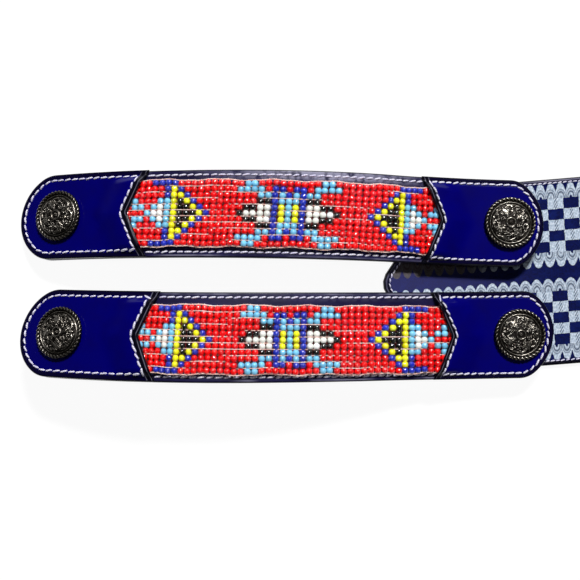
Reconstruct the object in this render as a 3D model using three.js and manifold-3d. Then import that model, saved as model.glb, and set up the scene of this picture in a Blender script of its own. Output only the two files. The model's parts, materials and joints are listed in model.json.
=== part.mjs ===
// A beaded belt, open and lying face up. A wide band of leather is faced with printed cotton, and two narrow
// leather straps with loomed bead panels are snapped on near its left tip. Their other ends are free.
// Millimetres and degrees. X runs along the band, Y across it, Z up. The origin is the middle of the base.

import * as THREE from "three";
import { mergeVertices } from "three/addons/utils/BufferGeometryUtils.js";
import Module from "manifold-3d";

const GAP = 0.3; // between pieces that touch
const rad = THREE.MathUtils.degToRad;

// Band
const BAND_LENGTH = 630;
const BAND_WIDTH = 83;
const BAND_LEATHER = 2.4; // thickness
const BAND_FABRIC = 1.0; // thickness
const FABRIC_INSET = 1.2; // the leather shows as a narrow edge round the fabric
const TIP_RADIUS = 8;
const TIP_ANGLE = rad(50); // each side of the pointed end to the band's axis
const SHOULDER_RADIUS = 14;
const LIFTED_LENGTH = 70; // from the left tip to where the band lies flat
// Its slope over that length, in degrees: the snaps hold it almost straight where they sit
const LIFT = [
  { share: 0, slope: -18 },
  { share: 0.64, slope: -4 },
  { share: 1, slope: 0 },
];

// Straps
const STRAP_LENGTH = 232.9;
const STRAP_WIDTH = 38;
const STRAP_LEATHER = 3; // thickness
const END_RADIUS = { free: 20, fixed: 21.5 }; // the blunt round ends of a strap
const CORNER_RADIUS = { free: 13, fixed: 10.5 }; // where a round end meets the straight edges
const SNAP_INSET = { free: 20.5, fixed: 15.4 }; // from each end of a strap to its snap

// Bead panel
const PANEL_WIDTH = 29.4;
const PANEL_MIDDLE = -0.6; // it is sewn on a little off the strap's middle
const BEAD_DIAMETER = 3;
const PANEL_UNDERLAP = 3; // how far the panel runs under each tab

// Patent-leather tabs
const TAB_LEATHER = 1.6; // thickness
const LIP_FLAT = 3.6; // the notched edge of a tab is raised over this length, to lap over the bead panel
const LIP_RAMP = 14; // and comes down to the strap over this length
const LIP_SIDE = 3; // and over this width beside the panel

// Snaps: cap with a post, socket under the strap, stud on the band
const STUD_FROM_TIP = 58;
const STUD_INSET = 17; // from each edge of the band
const STUD_MIDDLE = -2; // both lie this far off that
const POST_RADIUS = 1.6;
const SOCKET_RADIUS = 5.5;
const SOCKET_WEB = 0.5; // the socket's top plate, on which the post is set
const SOCKET_HEIGHT = 1.9;
const STUD_FLANGE = 0.5;
const NIB_RADIUS = 2.2;
const NIB_HEIGHT = 1.1;
const STUD_RECESS = 0.2; // the rivet end stays this far inside the band's underside

// Concho cap
const CONCHO_RADIUS = 11.25;
const CONCHO_RIM = 2.3; // height of the rope rim
const CONCHO_DOME = 3.6; // height of the middle
const ROPE_TWISTS = 18;
const ROPE_DEPTH = 0.28;
const SCROLL_ARMS = 4;
const SCROLL_RELIEF = 0.3;

// Each strap's free stretch, from its free end to the band's tip. `slope` is its angle in side view, `yaw` its
// swing about the fixed snap in plan, both in degrees. `notch` is how far each tab's notched edge lies from the
// strap's own end, at its middle and at its corners, as shares of the strap's length.
const STRAPS = [
  {
    name: "upper",
    side: 1,
    slopes: [
      { share: 1, slope: 25.3 },
      { share: 2 / 3, slope: 11.7 },
      { share: 1 / 3, slope: 2.1 },
    ],
    yaws: [
      { share: 0, yaw: -3.4 },
      { share: 0.5, yaw: -6.1 },
      { share: 1, yaw: -6.2 },
    ],
    twist: rad(-8.4), // of the free end, about the strap's own axis
    skew: { free: 0.04, fixed: 0.03 }, // how far an end is cut askew, per unit of width
    notch: { free: { vertex: 0.2256, corner: 0.2598 }, fixed: { vertex: 0.2078, corner: 0.2435 } },
  },
  {
    name: "lower",
    side: -1,
    slopes: [
      { share: 1, slope: 28.2 },
      { share: 2 / 3, slope: 8.5 },
      { share: 1 / 3, slope: -10.2 },
    ],
    yaws: [
      { share: 0, yaw: -7.2 },
      { share: 0.5, yaw: -4.5 },
      { share: 1, yaw: -3.3 },
    ],
    twist: rad(-12.3),
    skew: { free: 0.04, fixed: -0.06 },
    notch: { free: { vertex: 0.2332, corner: 0.2639 }, fixed: { vertex: 0.2043, corner: 0.2405 } },
  },
];

// Heights over the band's underside, through the stack at a snap
const FABRIC_TOP = BAND_LEATHER + GAP + BAND_FABRIC;
const FLANGE_TOP = FABRIC_TOP + GAP + STUD_FLANGE;
const NIB_TOP = FLANGE_TOP + NIB_HEIGHT;
const POST_END = NIB_TOP + GAP;
const SOCKET_TOP = POST_END + GAP + SOCKET_WEB;
const STRAP_FLOOR = SOCKET_TOP + GAP;
const STRAP_ROOF = STRAP_FLOOR + STRAP_LEATHER;
const PANEL_FLOOR = STRAP_ROOF + GAP;
const PANEL_ROOF = PANEL_FLOOR + BEAD_DIAMETER;
const TAB_FLOOR = STRAP_ROOF + GAP;
const LIP_FLOOR = PANEL_ROOF + GAP;
const CONCHO_BASE = TAB_FLOOR + TAB_LEATHER + GAP;

const wasm = await Module();
wasm.setup();

const patent = new THREE.MeshStandardMaterial({ color: "#02006a", roughness: 0.12 });
const leather = new THREE.MeshStandardMaterial({ color: "#0d0b33", roughness: 0.5 });
const cotton = new THREE.MeshStandardMaterial({ color: "#2b3f93", roughness: 0.9 });
const beads = new THREE.MeshStandardMaterial({ color: "#d11410", roughness: 0.25 });
const silver = new THREE.MeshStandardMaterial({ color: "#8a8378", roughness: 0.35, metalness: 1 });
const steel = new THREE.MeshStandardMaterial({ color: "#9a9a9a", roughness: 0.3, metalness: 1 });

// A plane curve of arcs that join smoothly: its angle runs evenly from row to row. It passes (0, 0) at `origin`.
function arcChain(rows, origin) {
  const reach = (knot, next, distance) => {
    const turn = (next.angle - knot.angle) / (next.at - knot.at);
    const angle = knot.angle + turn * distance;
    const straight = Math.abs(turn) < 1e-9;
    return {
      at: knot.at + distance,
      angle,
      x: knot.x + (straight ? distance * Math.cos(angle) : (Math.sin(angle) - Math.sin(knot.angle)) / turn),
      y: knot.y + (straight ? distance * Math.sin(angle) : (Math.cos(knot.angle) - Math.cos(angle)) / turn),
    };
  };
  const knots = [{ ...rows[0], x: 0, y: 0 }];
  rows.slice(1).forEach((row, i) => knots.push(reach(knots[i], row, row.at - rows[i].at)));
  const find = (at) => {
    const passed = knots.filter((knot) => knot.at <= at).length;
    const i = THREE.MathUtils.clamp(passed - 1, 0, knots.length - 2);
    return reach(knots[i], knots[i + 1], at - knots[i].at);
  };
  const home = find(origin);
  return (at) => {
    const point = find(at);
    return { x: point.x - home.x, y: point.y - home.y, angle: point.angle };
  };
}

const bandRows = [
  ...LIFT.map(({ share, slope }) => ({ at: LIFTED_LENGTH * share, angle: rad(slope) })),
  { at: BAND_LENGTH, angle: 0 },
];
const bandSide = arcChain(bandRows, 0);
const TIP_HEIGHT = -bandSide(BAND_LENGTH).y;

// The point at distance `along` from the left tip, `across` the band and `up` from its underside, where `side`
// is the side view of what lies there
function bend(side, along, across, up) {
  const { x, y, angle } = side(along);
  return new THREE.Vector3(x - up * Math.sin(angle), across, TIP_HEIGHT + y + up * Math.cos(angle));
}

const placeOnBand = (along, across, up) => bend(bandSide, along, across, up);

// A strap's own places: `along` from its free end, `across` from its middle line, `up` from the band's underside
function strapPlaces(strap) {
  const snapAt = STRAP_LENGTH - SNAP_INSET.fixed;
  const reach = snapAt - STUD_FROM_TIP;
  const free = strap.slopes.map(({ share, slope }) => ({ at: -reach * share, angle: rad(slope) }));
  const side = arcChain([...free, ...bandRows], 0);
  const plan = arcChain(
    strap.yaws.map(({ share, yaw }) => ({ at: STRAP_LENGTH * share, angle: rad(yaw) })),
    snapAt,
  );
  const studAcross = STUD_MIDDLE + strap.side * (BAND_WIDTH / 2 - STUD_INSET);
  return (along, across, up) => {
    const middle = plan(along);
    const bandAlong = STUD_FROM_TIP + middle.x;
    const twist = strap.twist * Math.max(0, -bandAlong / reach);
    const fromRoof = up - STRAP_ROOF;
    const aside = across * Math.cos(twist) - fromRoof * Math.sin(twist);
    const lift = STRAP_ROOF + across * Math.sin(twist) + fromRoof * Math.cos(twist);
    return bend(
      side,
      bandAlong - aside * Math.sin(middle.angle),
      studAcross + middle.y + aside * Math.cos(middle.angle),
      lift,
    );
  };
}

// How far the edge of a pointed band end lies from the tip, at `across` from the axis: a round tip, a straight
// side and a round shoulder, all moved in by `inset`
function tongue(across, inset) {
  const tipRadius = TIP_RADIUS - inset;
  const shoulderRadius = SHOULDER_RADIUS - inset;
  const shoulderAcross = BAND_WIDTH / 2 - SHOULDER_RADIUS;
  const shoulderAlong =
    TIP_RADIUS +
    (shoulderAcross * Math.cos(TIP_ANGLE) - (TIP_RADIUS - SHOULDER_RADIUS)) / Math.sin(TIP_ANGLE);
  const y = Math.abs(across);
  const sideStart = tipRadius * Math.cos(TIP_ANGLE);
  const sideEnd = shoulderAcross + shoulderRadius * Math.cos(TIP_ANGLE);
  if (y <= sideStart) return TIP_RADIUS - Math.sqrt(tipRadius ** 2 - y ** 2);
  if (y <= sideEnd) {
    return TIP_RADIUS - tipRadius * Math.sin(TIP_ANGLE) + (y - sideStart) / Math.tan(TIP_ANGLE);
  }
  return shoulderAlong - Math.sqrt(Math.max(0, shoulderRadius ** 2 - (y - shoulderAcross) ** 2));
}

// The lateral stations that a pointed end needs, from edge to edge
function tongueStations(inset) {
  const edge = BAND_WIDTH / 2 - inset;
  const shoulder = BAND_WIDTH / 2 - SHOULDER_RADIUS;
  const radius = SHOULDER_RADIUS - inset;
  const round = [0.64, 0.8, 0.93].map((share) => shoulder + radius * share);
  const half = [TIP_RADIUS * 0.35, TIP_RADIUS * 0.6, shoulder, ...round, edge];
  return [...half.map((y) => -y).reverse(), 0, ...half];
}

// How far a strap's round end lies from its foremost point, at `across` from the middle: one wide arc, with a
// small one at each corner
function roundEnd(across, end, skew) {
  const half = STRAP_WIDTH / 2;
  const radius = END_RADIUS[end];
  const cornerRadius = CORNER_RADIUS[end];
  const y = Math.abs(across);
  const centreAcross = half - cornerRadius;
  const centreAlong = radius - Math.sqrt((radius - cornerRadius) ** 2 - centreAcross ** 2);
  const meet = (centreAcross * radius) / (radius - cornerRadius);
  const wide = radius - Math.sqrt(radius ** 2 - Math.min(y, meet) ** 2);
  const corner = centreAlong - Math.sqrt(Math.max(0, cornerRadius ** 2 - (y - centreAcross) ** 2));
  return (y <= meet ? wide : corner) + skew * across;
}

// Lines across a slab at shares of the way from one edge to another, each giving `along` for an `across`
function between(start, end, shares) {
  return shares.map((share) => (across) => THREE.MathUtils.lerp(start(across), end(across), share));
}

// A slab on a grid of lines and lateral stations, from floor to roof, bent to its place
function slab({ stations, lines, floor, roof, place }) {
  const rows = lines.length;
  const columns = stations.length;
  const positions = [];
  for (const height of [floor, roof]) {
    for (const line of lines) {
      for (const across of stations) {
        const along = line(across);
        positions.push(...place(along, across, height(along, across)).toArray());
      }
    }
  }
  const index = [];
  const lay = (a, b, c, d) => index.push(a, b, c, a, c, d);
  const low = (row, column) => row * columns + column;
  const high = (row, column) => rows * columns + low(row, column);
  for (let row = 0; row + 1 < rows; row++) {
    for (let column = 0; column + 1 < columns; column++) {
      lay(high(row, column), high(row + 1, column), high(row + 1, column + 1), high(row, column + 1));
      lay(low(row, column), low(row, column + 1), low(row + 1, column + 1), low(row + 1, column));
    }
    lay(low(row, 0), low(row + 1, 0), high(row + 1, 0), high(row, 0));
    lay(low(row + 1, columns - 1), low(row, columns - 1), high(row, columns - 1), high(row + 1, columns - 1));
  }
  for (let column = 0; column + 1 < columns; column++) {
    lay(low(0, column + 1), low(0, column), high(0, column), high(0, column + 1));
    lay(low(rows - 1, column), low(rows - 1, column + 1), high(rows - 1, column + 1), high(rows - 1, column));
  }
  const geometry = new THREE.BufferGeometry();
  geometry.setAttribute("position", new THREE.Float32BufferAttribute(positions, 3));
  geometry.setIndex(index);
  return geometry;
}

// A turned form whose points may be moved round the axis by `shape`. The profile runs from the axis at the
// bottom to the axis at the top.
function turned(profile, segments, shape) {
  const positions = [];
  const first = [];
  profile.forEach(([radius, height], i) => {
    const pole = i === 0 || i === profile.length - 1;
    first.push(positions.length / 3);
    for (let k = 0; k < (pole ? 1 : segments); k++) {
      const angle = (2 * Math.PI * k) / segments;
      const [r, z] = shape(radius, height, angle);
      positions.push(r * Math.cos(angle), r * Math.sin(angle), z);
    }
  });
  const index = [];
  const last = profile.length - 1;
  for (let k = 0; k < segments; k++) {
    const next = (k + 1) % segments;
    index.push(first[0], first[1] + next, first[1] + k);
    for (let i = 1; i + 1 < last; i++) {
      const [a, b, c, d] = [first[i] + k, first[i] + next, first[i + 1] + next, first[i + 1] + k];
      index.push(a, b, c, a, c, d);
    }
    index.push(first[last], first[last - 1] + k, first[last - 1] + next);
  }
  const geometry = new THREE.BufferGeometry();
  geometry.setAttribute("position", new THREE.Float32BufferAttribute(positions, 3));
  geometry.setIndex(index);
  return geometry;
}

// Turns and moves a form made round the Z axis so that it stands on a strap or on the band
function standOn(place, along, across, up) {
  const foot = place(along, across, up);
  const normal = place(along, across, up + 1).sub(foot).normalize();
  const ahead = place(along + 1, across, up).sub(foot);
  const sideways = normal.clone().cross(ahead).normalize();
  return new THREE.Matrix4()
    .makeBasis(sideways.clone().cross(normal), sideways, normal)
    .setPosition(foot);
}

function solidOf(geometry) {
  const bare = geometry.clone();
  bare.deleteAttribute("normal");
  bare.deleteAttribute("uv");
  const merged = mergeVertices(bare, 1e-4);
  const vertProperties = new Float32Array(merged.attributes.position.array);
  const triVerts = new Uint32Array(merged.index.array);
  return new wasm.Manifold(new wasm.Mesh({ numProp: 3, vertProperties, triVerts }));
}

// Drills round holes for the posts and rivets through a slab, each square to it
function drill(geometry, holes) {
  let solid = solidOf(geometry);
  const length = 2 * (LIP_FLOOR + TAB_LEATHER);
  for (const { place, along, across } of holes) {
    const bit = new THREE.CylinderGeometry(POST_RADIUS + GAP, POST_RADIUS + GAP, length, 12);
    bit.rotateX(Math.PI / 2);
    bit.applyMatrix4(standOn(place, along, across, 0));
    solid = solid.subtract(solidOf(bit));
  }
  const mesh = solid.getMesh();
  const drilled = new THREE.BufferGeometry();
  drilled.setAttribute("position", new THREE.BufferAttribute(mesh.vertProperties, 3));
  drilled.setIndex(new THREE.BufferAttribute(mesh.triVerts, 1));
  return drilled;
}

const belt = new THREE.Group();

function add(name, geometry, material, matrix = new THREE.Matrix4()) {
  const mesh = new THREE.Mesh(geometry, material);
  mesh.name = name;
  mesh.applyMatrix4(matrix);
  belt.add(mesh);
}

// Band: the same pointed outline at both ends, with a hole for each stud
const studs = STRAPS.flatMap(({ name, side }) =>
  [
    { end: "near", along: STUD_FROM_TIP },
    { end: "far", along: BAND_LENGTH - STUD_FROM_TIP },
  ].map(({ end, along }) => ({
    name: `${name}_stud_${end}`,
    place: placeOnBand,
    along,
    across: STUD_MIDDLE + side * (BAND_WIDTH / 2 - STUD_INSET),
  })),
);

function bandLayer(inset, floor, roof) {
  const near = (across) => tongue(across, inset);
  const shoulder = () => tongue(BAND_WIDTH / 2 - inset, inset);
  // A flat facet lies under each stud
  const studFacet = [-1, 1].map((way) => () => STUD_FROM_TIP + way * 1.1 * SOCKET_RADIUS);
  const flat = () => Math.max(LIFTED_LENGTH, STUD_FROM_TIP + 2 * SOCKET_RADIUS);
  const layer = slab({
    stations: tongueStations(inset),
    lines: [
      ...between(near, shoulder, [0, 1 / 3, 2 / 3, 1]),
      ...between(shoulder, studFacet[0], [1 / 2, 1]),
      studFacet[1],
      flat,
      () => BAND_LENGTH - shoulder(),
      (across) => BAND_LENGTH - near(across),
    ],
    floor: () => floor,
    roof: () => roof,
    place: placeOnBand,
  });
  return drill(layer, studs);
}

add("band_leather", bandLayer(0, 0, BAND_LEATHER), leather);
add("band_fabric", bandLayer(FABRIC_INSET, BAND_LEATHER + GAP, FABRIC_TOP), cotton);

// Stud: a rivet through the band, a flange on the fabric and the nib that the socket snaps over
const studProfile = [
  [0, STUD_RECESS],
  [POST_RADIUS, STUD_RECESS],
  [POST_RADIUS, FABRIC_TOP + GAP],
  [SOCKET_RADIUS, FABRIC_TOP + GAP],
  [SOCKET_RADIUS, FLANGE_TOP],
  [NIB_RADIUS * 0.9, FLANGE_TOP],
  [NIB_RADIUS, NIB_TOP - NIB_HEIGHT * 0.4],
  [NIB_RADIUS * 0.8, NIB_TOP],
  [0, NIB_TOP],
];
const round = (radius, height) => [radius, height];
for (const { name, place, along, across } of studs) {
  add(name, turned(studProfile, 12, round), steel, standOn(place, along, across, 0));
}

// Socket: a closed ring under the strap, with the post's hole in its web and a cavity for the nib below
const socketProfile = [
  [POST_RADIUS + GAP, SOCKET_TOP],
  [POST_RADIUS + GAP, SOCKET_TOP - SOCKET_WEB],
  [NIB_RADIUS + GAP, SOCKET_TOP - SOCKET_WEB],
  [NIB_RADIUS + GAP, SOCKET_TOP - SOCKET_HEIGHT],
  [SOCKET_RADIUS * 0.94, SOCKET_TOP - SOCKET_HEIGHT],
  [SOCKET_RADIUS, SOCKET_TOP],
  [POST_RADIUS + GAP, SOCKET_TOP],
];
const socketForm = new THREE.LatheGeometry(
  socketProfile.map(([radius, height]) => new THREE.Vector2(radius, height)),
  12,
);
socketForm.rotateX(Math.PI / 2);

// Concho: a domed cap with a rope rim, raised scroll arms round a small boss, and a post behind
const conchoProfile = [
  [0, POST_END - CONCHO_BASE],
  [POST_RADIUS, POST_END - CONCHO_BASE],
  [POST_RADIUS, 0],
  [CONCHO_RADIUS * 0.35, 0],
  [CONCHO_RADIUS * 0.92, CONCHO_RIM * 0.25],
  [CONCHO_RADIUS, CONCHO_RIM * 0.5],
  [CONCHO_RADIUS * 0.95, CONCHO_RIM],
  [CONCHO_RADIUS * 0.86, CONCHO_RIM * 0.9],
  [CONCHO_RADIUS * 0.82, CONCHO_RIM * 0.68],
  [CONCHO_RADIUS * 0.74, CONCHO_RIM],
  [CONCHO_RADIUS * 0.58, CONCHO_DOME * 0.83],
  [CONCHO_RADIUS * 0.4, CONCHO_DOME * 0.93],
  [CONCHO_RADIUS * 0.24, CONCHO_DOME],
  [CONCHO_RADIUS * 0.12, CONCHO_DOME * 0.88],
  [0, CONCHO_DOME],
];

function castRelief(radius, height, angle) {
  const share = radius / CONCHO_RADIUS;
  const twist = Math.cos(ROPE_TWISTS * angle);
  if (share > 0.85 && height > CONCHO_RIM * 0.4) {
    return [radius + (ROPE_DEPTH / 2) * twist, height + (ROPE_DEPTH / 2) * twist];
  }
  if (share > 0.3 && share < 0.7 && height > CONCHO_RIM) {
    const arm = Math.cos(SCROLL_ARMS * angle + 9 * share);
    return [radius, height + SCROLL_RELIEF * arm];
  }
  return [radius, height];
}

for (const strap of STRAPS) {
  const place = strapPlaces(strap);
  const half = STRAP_WIDTH / 2;
  const outline = {
    free: (across) => roundEnd(across, "free", strap.skew.free),
    fixed: (across) => STRAP_LENGTH - roundEnd(across, "fixed", strap.skew.fixed),
  };
  // The swallowtail edge of a tab, from the strap's own end
  const notch = ({ vertex, corner }, across) =>
    STRAP_LENGTH * THREE.MathUtils.lerp(vertex, corner, Math.abs(across) / half);
  const notchAt = {
    free: (across) => notch(strap.notch.free, across),
    fixed: (across) => STRAP_LENGTH - notch(strap.notch.fixed, across),
  };
  const snaps = [
    { end: "free", place, along: SNAP_INSET.free, across: 0 },
    { end: "fixed", place, along: STRAP_LENGTH - SNAP_INSET.fixed, across: 0 },
  ];
  const rim = PANEL_WIDTH / 2;
  const lipEdge = rim - BEAD_DIAMETER / 6;
  const outer = [half * 0.97, half];
  const inner = [-LIP_SIDE - lipEdge, -lipEdge, -rim / 2, 0, rim / 2, lipEdge, lipEdge + LIP_SIDE];
  const stations = [-outer[1], -outer[0], ...inner.map((y) => y + PANEL_MIDDLE), ...outer];
  const even = (count) => Array.from({ length: count + 1 }, (_, i) => i / count);

  const body = slab({
    stations,
    lines: between(outline.free, outline.fixed, even(18)),
    floor: () => STRAP_FLOOR,
    roof: () => STRAP_ROOF,
    place,
  });
  add(`${strap.name}_strap_leather`, drill(body, snaps), leather);

  // Bead panel: its outer rows are round, so its long edges are rounded, and its ends run under the tabs
  const panel = slab({
    stations: [-rim, -rim + BEAD_DIAMETER / 4, 0, rim - BEAD_DIAMETER / 4, rim].map((y) => y + PANEL_MIDDLE),
    lines: between(
      (across) => notchAt.free(across) - PANEL_UNDERLAP,
      (across) => notchAt.fixed(across) + PANEL_UNDERLAP,
      even(18),
    ),
    floor: () => PANEL_FLOOR,
    roof: (_, across) => {
      const onRim = Math.abs(across - PANEL_MIDDLE) > rim - BEAD_DIAMETER / 8;
      return onRim ? PANEL_FLOOR + BEAD_DIAMETER * 0.6 : PANEL_ROOF;
    },
    place,
  });
  add(`${strap.name}_beadwork`, panel, beads);

  for (const { end, along, across } of snaps) {
    // The tab lies on the strap and rises at its notched edge to lap over the ends of the bead rows
    const lap = (tabAlong, tabAcross) => {
      const inside = Math.abs(notchAt[end](tabAcross) - tabAlong);
      const ramp = THREE.MathUtils.smoothstep(LIP_FLAT + LIP_RAMP - inside, 0, LIP_RAMP);
      const fromPanel = lipEdge + LIP_SIDE - Math.abs(tabAcross - PANEL_MIDDLE);
      const beside = THREE.MathUtils.clamp(fromPanel / LIP_SIDE, 0, 1);
      return TAB_FLOOR + (LIP_FLOOR - TAB_FLOOR) * ramp * beside;
    };
    const tabLength = STRAP_LENGTH * strap.notch[end].vertex;
    const lip = [0, 0.25, 0.5, 0.75, 1].map((share) => (LIP_FLAT + LIP_RAMP * share) / tabLength);
    const lines = between(notchAt[end], outline[end], [0, ...lip, 0.45, 0.65, 0.83, 1]);
    const tab = slab({
      stations,
      lines: end === "free" ? lines.reverse() : lines,
      floor: lap,
      roof: (...where) => lap(...where) + TAB_LEATHER,
      place,
    });
    add(`${strap.name}_tab_${end}`, drill(tab, [{ place, along, across }]), patent);
    add(`${strap.name}_socket_${end}`, socketForm, steel, standOn(place, along, across, 0));
    add(
      `${strap.name}_concho_${end}`,
      turned(conchoProfile, 2 * ROPE_TWISTS, castRelief),
      silver,
      standOn(place, along, across, CONCHO_BASE),
    );
  }
}

// The origin goes to the middle of the base
belt.updateMatrixWorld(true);
const box = new THREE.Box3().setFromObject(belt, true);
const middle = box.getCenter(new THREE.Vector3());
belt.position.set(-middle.x, -middle.y, -box.min.z);

export default belt;
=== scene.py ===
"""The looks of a beaded belt that lies open and face up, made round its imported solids.
Sizes here are millimetres and degrees, the scene is in metres. X runs along the band, Y across it, Z up.
A place on the belt is given as `along` its length, `across` its middle line and `up` from the band's
underside."""

import json
import math

import bpy
import numpy as np
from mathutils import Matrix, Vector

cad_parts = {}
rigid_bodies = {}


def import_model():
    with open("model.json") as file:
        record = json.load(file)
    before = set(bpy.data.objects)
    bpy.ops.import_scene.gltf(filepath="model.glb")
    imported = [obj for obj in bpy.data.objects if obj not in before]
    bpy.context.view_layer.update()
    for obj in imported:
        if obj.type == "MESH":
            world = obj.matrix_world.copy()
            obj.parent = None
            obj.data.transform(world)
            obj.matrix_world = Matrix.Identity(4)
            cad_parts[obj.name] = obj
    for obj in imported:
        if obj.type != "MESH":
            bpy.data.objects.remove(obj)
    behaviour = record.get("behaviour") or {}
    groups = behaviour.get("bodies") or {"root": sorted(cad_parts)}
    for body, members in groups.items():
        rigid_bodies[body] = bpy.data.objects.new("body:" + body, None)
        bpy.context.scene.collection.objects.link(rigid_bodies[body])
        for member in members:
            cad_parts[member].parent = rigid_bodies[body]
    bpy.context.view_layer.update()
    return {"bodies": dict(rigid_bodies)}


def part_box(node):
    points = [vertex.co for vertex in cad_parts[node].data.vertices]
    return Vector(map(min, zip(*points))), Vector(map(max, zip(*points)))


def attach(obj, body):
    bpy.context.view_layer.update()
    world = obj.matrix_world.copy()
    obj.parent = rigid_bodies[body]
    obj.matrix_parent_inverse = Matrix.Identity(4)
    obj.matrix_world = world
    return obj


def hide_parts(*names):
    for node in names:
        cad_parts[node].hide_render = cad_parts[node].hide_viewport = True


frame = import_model()
belt_body = next(iter(frame["bodies"]))
chance = np.random.default_rng(8)


# Band hide: one wide strap of dark navy leather with a rounded point at each end, cut from 2.4 mm hide. Its
# cut edges are painted black. The end that carries the straps is bent up a little, and the rest lies flat.
BAND_LENGTH = 630
BAND_WIDTH = 83
BAND_HIDE = 2.4
TIP_RADIUS = 8
TIP_ANGLE = math.radians(50)
SHOULDER_RADIUS = 14
LIFTED_LENGTH = 70
LIFT_AT = [0, 0.64 * LIFTED_LENGTH, LIFTED_LENGTH, BAND_LENGTH]
LIFT_SLOPE = [-18, -4, 0, 0]
HIDE_ROUNDING = 0.7  # of the painted edges
BAND_SPACING = 3.2  # of the lines of the band's grids
CREST_AT = 134  # along a strap, the middle of the painted highlight on its upper margin
CREST_HALF = 62
EDGE_STEPS = np.array([0, 0.06, 0.22, 0.48, 0.85, 1.4, 2.2])  # insets of the grid lines next to an edge


def arc_chain(at, slope, origin):
    """A plane curve of arcs: its slope runs evenly from row to row, and it passes (0, 0) at `origin`. Where
    it turns by t a millimetre from slope a0 to a, x grows by (sin a - sin a0) / t and y by (cos a0 - cos a)
    / t."""
    at, slope = np.array(at, float), np.radians(slope)
    turn = np.diff(slope) / np.diff(at)
    turn = np.where(abs(turn) < 1e-9, 1e-9, turn)

    def reach(i, distance):
        end = slope[i] + turn[i] * distance
        return (np.sin(end) - np.sin(slope[i])) / turn[i], (np.cos(slope[i]) - np.cos(end)) / turn[i], end

    x, y, _ = reach(np.arange(len(turn)), np.diff(at))
    knot_x, knot_y = np.append(0, np.cumsum(x)), np.append(0, np.cumsum(y))

    def find(s):
        i = np.clip(np.searchsorted(at, s, side="right") - 1, 0, len(turn) - 1)
        x, y, end = reach(i, s - at[i])
        return knot_x[i] + x, knot_y[i] + y, end

    home_x, home_y, _ = find(origin)

    def curve(s):
        x, y, end = find(np.asarray(s, float))
        return x - home_x, y - home_y, end

    return curve


band_side = arc_chain(LIFT_AT, LIFT_SLOPE, 0)
tip_height = -band_side(BAND_LENGTH)[1]
band_low, band_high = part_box("band_leather")
band_tip = np.array([band_low.x, (band_low.y + band_high.y) / 2, 0]) * 1000


def bend(side, along, across, up):
    """The point over a side view's curve: its foot on the curve, plus `up` along the curve's normal."""
    x, y, slope = side(along)
    point = [x - up * np.sin(slope), across + 0 * x, tip_height + y + up * np.cos(slope)]
    return np.stack(np.broadcast_arrays(*point), -1) + band_tip


def on_band(along, across, up):
    return bend(band_side, along, across, up)


def grid_faces(rows, columns, closed=False):
    """The quads of a grid of points, whose columns may close into a ring."""
    across = np.arange(columns if closed else columns - 1)
    row, column = np.meshgrid(np.arange(rows - 1), across, indexing="ij")
    after = (column + 1) % columns
    corners = [row * columns + column, (row + 1) * columns + column, (row + 1) * columns + after]
    return np.stack([*corners, row * columns + after], -1).reshape(-1, 4)


def rim_of_grid(rows, columns):
    """The numbers of a grid's outer points, once round."""
    number = np.arange(rows * columns).reshape(rows, columns)
    return np.concatenate([number[:, 0], number[-1, 1:], number[-2::-1, -1], number[0, -2:0:-1]])


def distance_to(outline, points):
    """How far each point lies from a closed outline: the least of its distances to the outline's straight
    pieces, where each foot is kept between the piece's two ends."""
    step = np.roll(outline, -1, 0) - outline
    square = np.maximum((step**2).sum(-1), 1e-12)
    nearest = []
    for part in np.array_split(points, 1 + points.shape[0] * len(outline) // 2_000_000):
        away = part[:, None] - outline
        share = np.clip((away * step).sum(-1) / square, 0, 1)
        nearest.append(np.sqrt(((away - share[..., None] * step) ** 2).sum(-1)).min(-1))
    return np.concatenate(nearest)


def cut_lines(length, spacing):
    """Shares of a length at which grid lines lie: close together at both edges, `spacing` apart between."""
    inner = EDGE_STEPS[-1]
    middle = np.linspace(inner, length - inner, 1 + round((length - 2 * inner) / spacing))
    return np.concatenate([EDGE_STEPS[:-1], middle, length - EDGE_STEPS[-2::-1]]) / length


def cut_slab(start, end, width, spacing, floor, thickness, rounding, place):
    """A flat piece cut from hide or cloth, as a closed slab: a grid of lines from the outline's `start` to
    its `end`, once as roof and once as floor, joined round the rim. The floor is a height or a function of
    the place. Each edge is a quarter round: at a distance d inside the outline the face drops by
    r - sqrt(r^2 - (r - d)^2), where d is less than the rounding r."""
    stations = (cut_lines(width, spacing) - 0.5) * width
    across, share = np.meshgrid(stations, cut_lines(end(0.0) - start(0.0), spacing))
    along = start(across) + (end(across) - start(across)) * share
    rows, columns = along.shape
    rim = rim_of_grid(rows, columns)
    flat = np.stack([along.ravel(), across.ravel()], -1)
    inside = distance_to(flat[rim], flat)
    inside[rim] = 0
    drop = rounding - np.sqrt(rounding**2 - (rounding - np.minimum(inside, rounding)) ** 2)
    base = floor(*flat.T) if callable(floor) else floor
    points = [place(*flat.T, base + thickness - drop), place(*flat.T, base + drop)]
    top, count = grid_faces(rows, columns), rows * columns
    after = np.roll(rim, -1)
    walls = np.stack([rim, rim + count, after + count, after], -1)
    cut = np.column_stack([flat, inside])
    return {
        "points": np.concatenate(points),
        "faces": [top, top[:, ::-1] + count, walls],
        "cut": np.concatenate([cut, cut]),
        "outline": flat[rim],
    }


LAYERS = {
    "cut": ("FLOAT_VECTOR", "vector"),  # a slab's along, across and distance to its outline
    "twist": ("FLOAT_VECTOR", "vector"),  # a thread's run, share of a turn round it and height
    "glass": ("FLOAT_COLOR", "color"),
    "lap": ("FLOAT", "value"),  # distance to a tab's notched edge
    "relief": ("FLOAT", "value"),
}


def add_object(name, data):
    """Puts data into the scene, as an object at the origin."""
    thing = bpy.data.objects.new(name, data)
    bpy.context.scene.collection.objects.link(thing)
    return thing


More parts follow.
